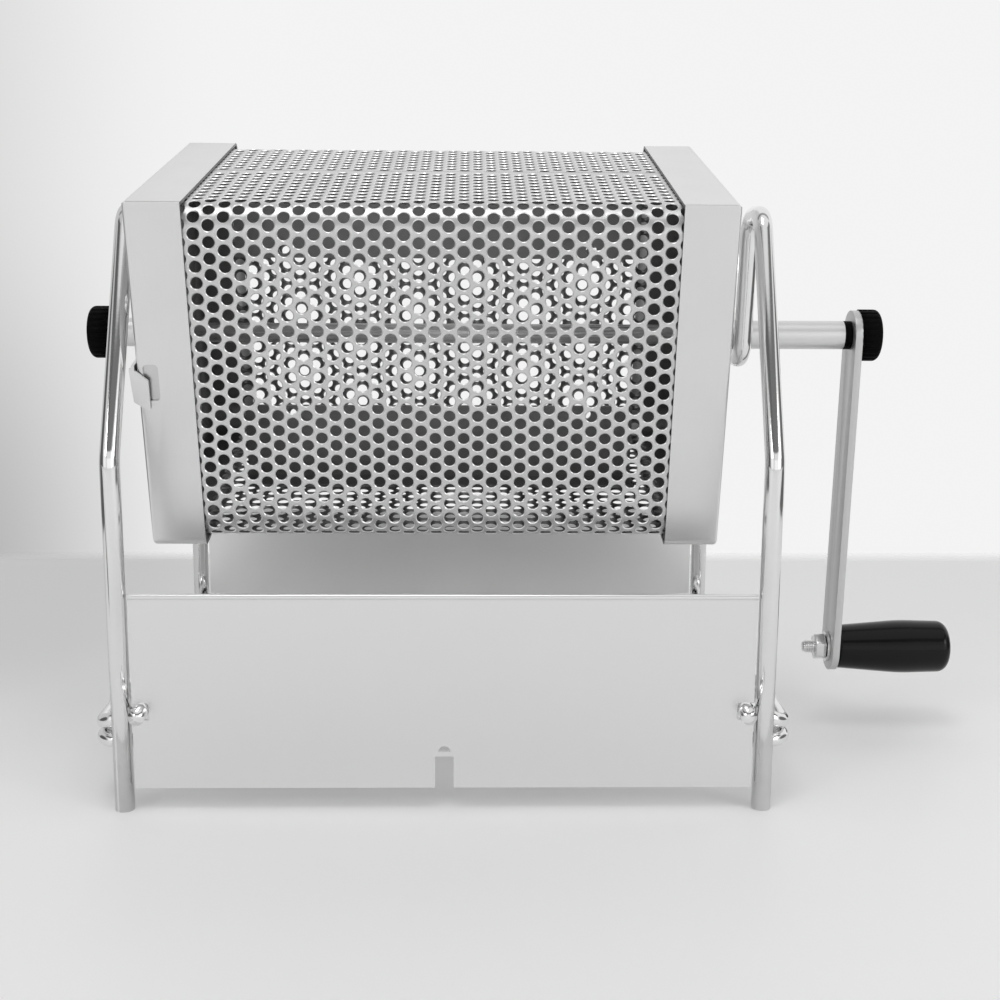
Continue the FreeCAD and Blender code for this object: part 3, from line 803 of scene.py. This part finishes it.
def light_tent():
    """A pale tent with bright strips and dark gaps for the metal, and a plain wall for the camera, darker at
    its lower left as painted shade.
    """
    world = bpy.data.worlds.new("light_tent")
    bpy.context.scene.world = world
    world.use_nodes = True
    tree = world.node_tree
    place = node(tree, "ShaderNodeTexCoord")
    split = node(tree, "ShaderNodeSeparateXYZ")
    tree.links.new(place.outputs["Generated"], split.inputs["Vector"])
    across, forward, up = split.outputs
    wide = size_of(tree, across)
    low = below(tree, size_of(tree, up), 0.35, 0.60)
    in_front = below(tree, forward, -0.05, 0.10)
    side_strip = times(tree, between(tree, wide, 0.42, 0.50, 0.80, 0.86), in_front, low)
    side_gap = times(tree, band(tree, wide, 0.88, 0.93), low)
    front_strip = times(tree, between(tree, up, -0.10, 0.0, 0.26, 0.36), in_front,
                        below(tree, wide, 0.38, 0.48))
    front_gap = times(tree, between(tree, up, 0.50, 0.58, 0.68, 0.76), in_front)
    rear_gap = times(tree, between(tree, forward, 0.08, 0.14, 0.26, 0.34), band(tree, up, 0.60, 0.75))
    strength = band(tree, forward, -0.6, 0.5, 0.82, 0.90)
    for mask, level in ((side_strip, 1.8), (side_gap, 0.18), (front_strip, 1.3), (front_gap, 0.22),
                        (rear_gap, 0.4)):
        strength = scaled(tree, strength, mask, level)
    wall = node(tree, "ShaderNodeMix", data_type="FLOAT")
    wall.inputs["B"].default_value = 0.90
    tree.links.new(node(tree, "ShaderNodeLightPath").outputs["Is Camera Ray"], wall.inputs["Factor"])
    tree.links.new(strength, wall.inputs["A"])
    # Darker towards the lower left: less light from the tent there, and painted shade on the wall the camera
    # sees.
    corner = times(tree, below(tree, across, -0.42, -0.10), band(tree, up, -0.24, 0.04, 1.0, 0.55))
    strength = scaled(tree, wall.outputs["Result"], corner, 0.45)
    background = tree.nodes["Background"]
    tree.links.new(strength, background.inputs["Strength"])
    background.inputs["Color"].default_value = (1.0, 1.0, 1.0, 1.0)


def soft_lamp(name, place, aim, width, power):
    """A square lamp turned towards its aim."""
    data = bpy.data.lights.new(name, "AREA")
    data.shape = "SQUARE"
    data.size = width
    data.energy = power
    lamp = bpy.data.objects.new(name, data)
    lamp.location = place
    lamp.rotation_mode = "QUATERNION"
    lamp.rotation_quaternion = (Vector(aim) - Vector(place)).to_track_quat("-Z", "Y")
    bpy.context.scene.collection.objects.link(lamp)


def photo_camera():
    """Camera at the photograph's station, with its pitch, yaw and roll."""
    data = bpy.data.cameras.new("camera")
    data.sensor_width = 36.0
    data.lens = 50.78
    data.clip_start = 0.01
    camera = bpy.data.objects.new("camera", data)
    pitch = math.radians(10.779)
    yaw = math.radians(1.213)
    roll = math.radians(0.344)
    ahead = Vector((math.sin(yaw) * math.cos(pitch), math.cos(yaw) * math.cos(pitch), -math.sin(pitch)))
    level = ahead.cross(Vector((0.0, 0.0, 1.0))).normalized()
    upright = level.cross(ahead)
    right = level * math.cos(roll) + upright * math.sin(roll)
    top = upright * math.cos(roll) - level * math.sin(roll)
    station = Matrix.Translation((-0.018485, -0.402046, 0.147684))
    camera.matrix_world = station @ Matrix((right, top, -ahead)).transposed().to_4x4()
    bpy.context.scene.collection.objects.link(camera)
    bpy.context.scene.camera = camera


class ROASTER_OT_stage(bpy.types.Operator):
    """Pale table, light tent, soft lamps and the camera"""
    bl_idname = "roaster.stage"
    bl_label = "Stage"

    def execute(self, context):
        bm = bmesh.new()
        bmesh.ops.create_grid(bm, x_segments=1, y_segments=1, size=1.0)
        bmesh.ops.scale(bm, verts=bm.verts, vec=(TABLE_HALF, (TABLE_BACK - TABLE_FRONT) / 2, 1.0))
        bmesh.ops.translate(bm, verts=bm.verts, vec=(0.0, (TABLE_BACK + TABLE_FRONT) / 2, 0.0))
        mesh = bpy.data.meshes.new("table")
        bm.to_mesh(mesh)
        bm.free()
        mesh.materials.append(table_finish())
        table = bpy.data.objects.new("table", mesh)
        context.scene.collection.objects.link(table)
        light_tent()
        soft_lamp("lamp_overhead", (-0.1, -0.25, 0.9), (0.0, 0.0, 0.05), width=0.30, power=0.9)
        soft_lamp("lamp_front_left", (-0.7, -0.8, 0.6), (0.0, 0.0, 0.1), width=0.25, power=0.9)
        soft_lamp("lamp_front_right", (0.8, -0.6, 0.5), (0.0, 0.0, 0.1), width=0.25, power=0.8)
        photo_camera()
        context.scene.view_settings.view_transform = "Standard"
        return {"FINISHED"}


operators = (
    ROASTER_OT_drum_sheet,
    ROASTER_OT_end_caps,
    ROASTER_OT_hatch_cover,
    ROASTER_OT_vanes,
    ROASTER_OT_axle_fittings,
    ROASTER_OT_knobs,
    ROASTER_OT_crank_arm,
    ROASTER_OT_grip_fasteners,
    ROASTER_OT_grip,
    ROASTER_OT_wire_stand,
    ROASTER_OT_screens,
    ROASTER_OT_stage,
)


class ROASTER_PT_pieces(bpy.types.Panel):
    """Pieces, sizes and finishes of the roaster"""
    bl_idname = "ROASTER_PT_pieces"
    bl_label = "Bean roaster"
    bl_space_type = "VIEW_3D"
    bl_region_type = "UI"
    bl_category = "Roaster"

    def draw(self, context):
        for group in (context.scene.roaster_sizes, context.scene.roaster_finishes):
            box = self.layout.box()
            for name in group.bl_rna.properties.keys():
                if name not in ("rna_type", "name"):
                    box.prop(group, name)
        for operator in operators:
            self.layout.operator(operator.bl_idname)


classes = (RoasterSizes, RoasterFinishes) + operators + (ROASTER_PT_pieces,)


def register():
    for cls in classes:
        bpy.utils.register_class(cls)
    bpy.types.Scene.roaster_sizes = PointerProperty(type=RoasterSizes)
    bpy.types.Scene.roaster_finishes = PointerProperty(type=RoasterFinishes)


def unregister():
    del bpy.types.Scene.roaster_finishes
    del bpy.types.Scene.roaster_sizes
    for cls in reversed(classes):
        bpy.utils.unregister_class(cls)


def main():
    """Builds every piece in order."""
    register()
    for operator in operators:
        family, name = operator.bl_idname.split(".")
        getattr(getattr(bpy.ops, family), name)()


if __name__ == "__main__":
    main()
